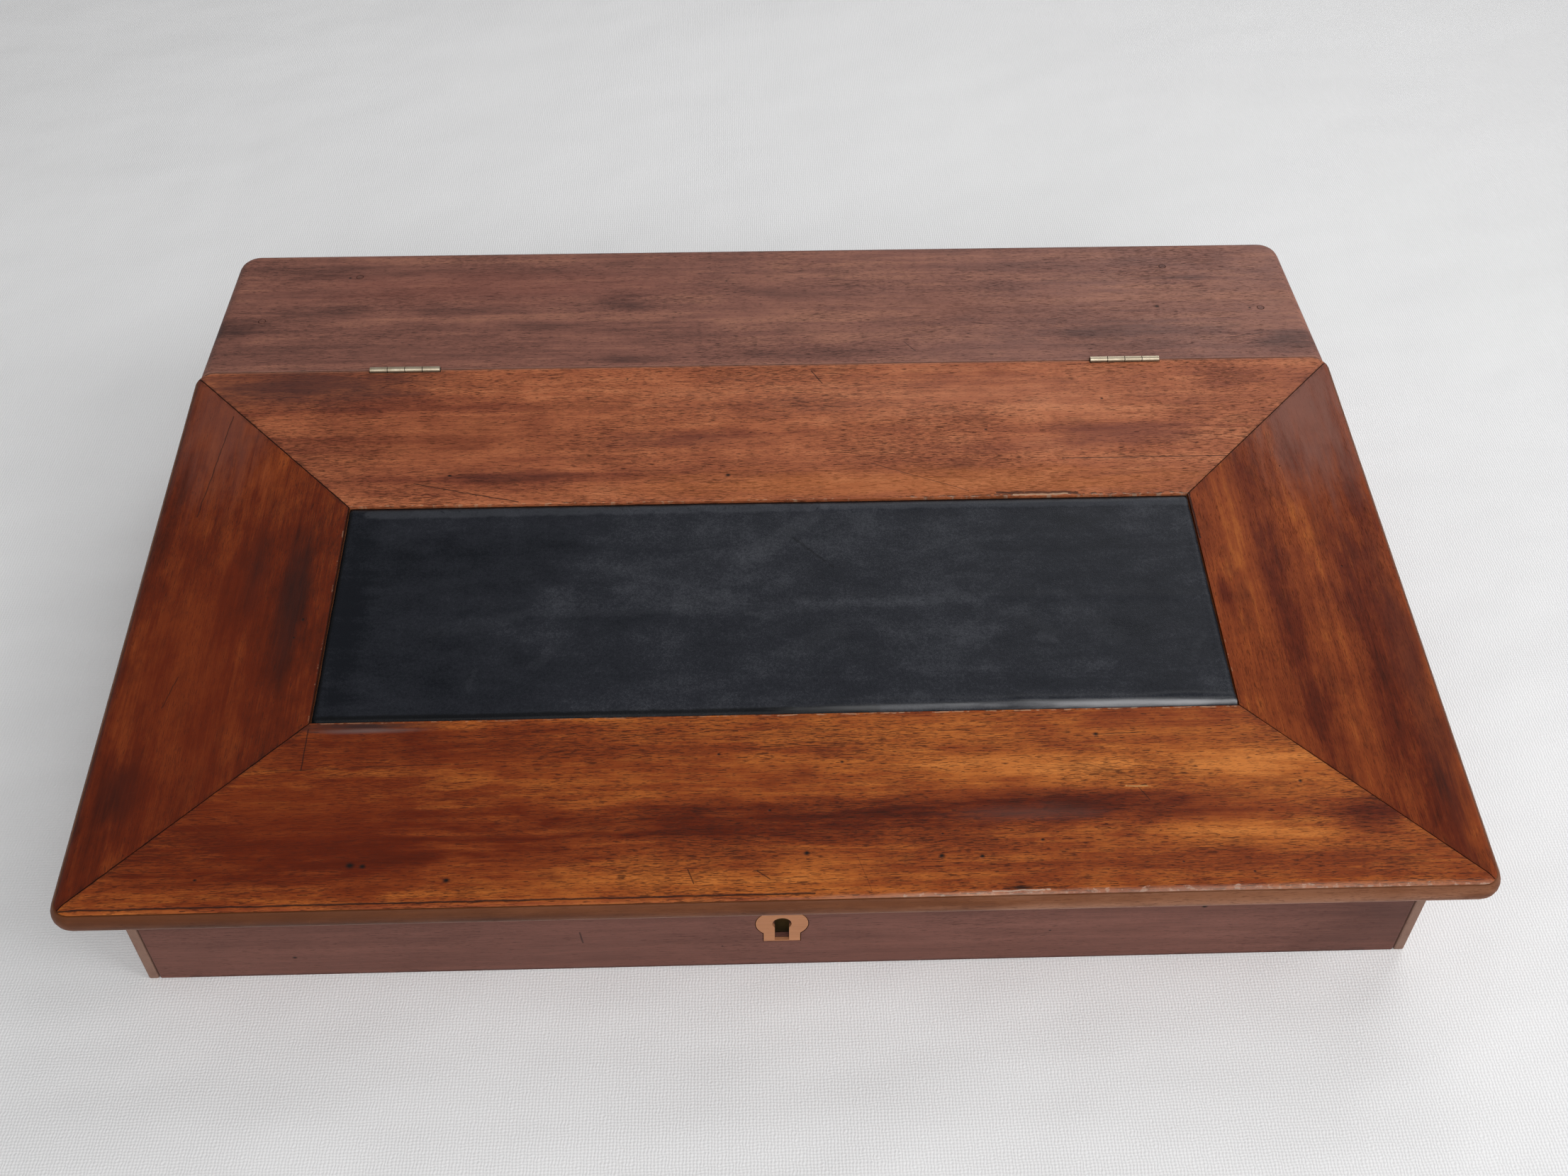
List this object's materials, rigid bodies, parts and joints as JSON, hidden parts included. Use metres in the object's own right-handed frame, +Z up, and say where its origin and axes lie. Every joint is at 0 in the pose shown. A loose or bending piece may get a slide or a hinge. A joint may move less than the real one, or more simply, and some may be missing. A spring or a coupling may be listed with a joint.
{
  "type": "travel writing box",
  "caption": "Shallow mahogany writing slope: a box with a fixed rear shelf, a hinged sloping lid faced with mitred veneer round a leather panel, and a keyed box lock.",
  "frame": {"origin": "on the table, under the middle of the overall box", "axes": "+X to the right along the hinge line, +Y to the back where the shelf is, +Z up"},
  "size_m": [0.46, 0.3264, 0.0843],
  "materials": {
    "shelf_mahogany": "old dull polish, long grain",
    "carcass_mahogany": "worn, nearly matt",
    "lid_core_mahogany": "worn satin, half-round edge",
    "lid_facing_mahogany": "worn satin veneer",
    "bottom_pine": "unfinished",
    "escutcheon_boxwood": "worn, bare",
    "writing_leather": "satin, scuffed",
    "hinge_brass": "rubbed",
    "lock_brass": "tarnished",
    "blackened_iron": "dark, dull"
  },
  "bodies": {
    "box": {"shelf_top": "shelf_mahogany", "front_board": "carcass_mahogany", "back_board": "carcass_mahogany", "left_side": "carcass_mahogany", "right_side": "carcass_mahogany", "bottom_board": "bottom_pine", "escutcheon": "escutcheon_boxwood", "left_hinge_shelf_leaf": "hinge_brass", "right_hinge_shelf_leaf": "hinge_brass", "left_hinge_shelf_leaf_screw_1": "hinge_brass", "left_hinge_shelf_leaf_screw_2": "hinge_brass", "right_hinge_shelf_leaf_screw_1": "hinge_brass", "right_hinge_shelf_leaf_screw_2": "hinge_brass", "left_hinge_pin": "blackened_iron", "right_hinge_pin": "blackened_iron", "lock_plate": "lock_brass", "lock_case": "lock_brass", "lock_drill_pin": "blackened_iron", "lock_spring": "blackened_iron", "lock_screw_upper_left": "blackened_iron", "lock_screw_upper_right": "blackened_iron", "lock_screw_lower_left": "blackened_iron", "lock_screw_lower_right": "blackened_iron", "shelf_nail_back_left": "blackened_iron", "shelf_nail_back_right": "blackened_iron", "shelf_nail_side_left": "blackened_iron", "shelf_nail_side_right": "blackened_iron", "bottom_nail_left_front": "blackened_iron", "bottom_nail_left_back": "blackened_iron", "bottom_nail_right_front": "blackened_iron", "bottom_nail_right_back": "blackened_iron", "bottom_nail_front_left": "blackened_iron", "bottom_nail_front_right": "blackened_iron", "bottom_nail_back_left": "blackened_iron", "bottom_nail_back_right": "blackened_iron"},
    "lid": {"lid_core": "lid_core_mahogany", "lid_facing_front": "lid_facing_mahogany", "lid_facing_back": "lid_facing_mahogany", "lid_facing_left": "lid_facing_mahogany", "lid_facing_right": "lid_facing_mahogany", "leather_panel": "writing_leather", "left_hinge_lid_leaf": "hinge_brass", "right_hinge_lid_leaf": "hinge_brass", "left_hinge_lid_leaf_screw_1": "hinge_brass", "left_hinge_lid_leaf_screw_2": "hinge_brass", "right_hinge_lid_leaf_screw_1": "hinge_brass", "right_hinge_lid_leaf_screw_2": "hinge_brass", "link_plate": "lock_brass", "link_screw_1": "blackened_iron", "link_screw_2": "blackened_iron"},
    "lock_bolt": {"lock_bolt": "blackened_iron"}
  },
  "joints": [
    {"name": "lid_hinge", "type": "hinge", "parent": "box", "child": "lid", "pos_m": [0, 0.07671, 0.0831], "axis": [-1, 0, 0], "range_deg": [0, 185]},
    {"name": "lock_bolt_slide", "type": "slide", "parent": "box", "child": "lock_bolt", "axis": [1, 0, 0], "range_m": [0, 0.006]}
  ]
}
